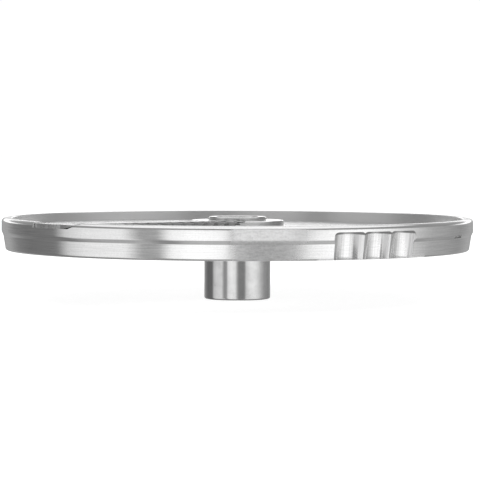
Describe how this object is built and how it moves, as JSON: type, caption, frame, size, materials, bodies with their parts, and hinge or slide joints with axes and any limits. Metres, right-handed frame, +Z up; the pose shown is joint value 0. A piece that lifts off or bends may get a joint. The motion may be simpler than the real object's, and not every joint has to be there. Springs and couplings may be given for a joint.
{
  "type": "ripple-cut slicing disc",
  "caption": "Round metal slicing disc with a raised rim, a sloping dished plate, a corrugated blade let into the rim and a short bored hub underneath.",
  "frame": {"origin": "on the hub's axis, at the hub's lower end face, which is the lowest point", "axes": "+Z up along the hub's axis, from the hub's foot to the cutting side; +X to the right and +Y away from the viewer in the picture's view; the blade runs outwards 35 degrees from -X towards -Y"},
  "size_m": [0.185, 0.185, 0.0324],
  "materials": {
    "machined_aluminium": "turned on a lathe, fine concentric tool marks, satin",
    "hub_steel": "turned stainless steel, fine lines round the hub",
    "blade_steel": "ground stainless steel, brighter at the sharpened edge",
    "screw_steel": "plain stainless steel, lightly worn"
  },
  "bodies": {
    "root": {"disc_body": "machined_aluminium", "drive_hub": "hub_steel", "ripple_blade": "blade_steel", "blade_screws": "screw_steel"}
  },
  "joints": []
}
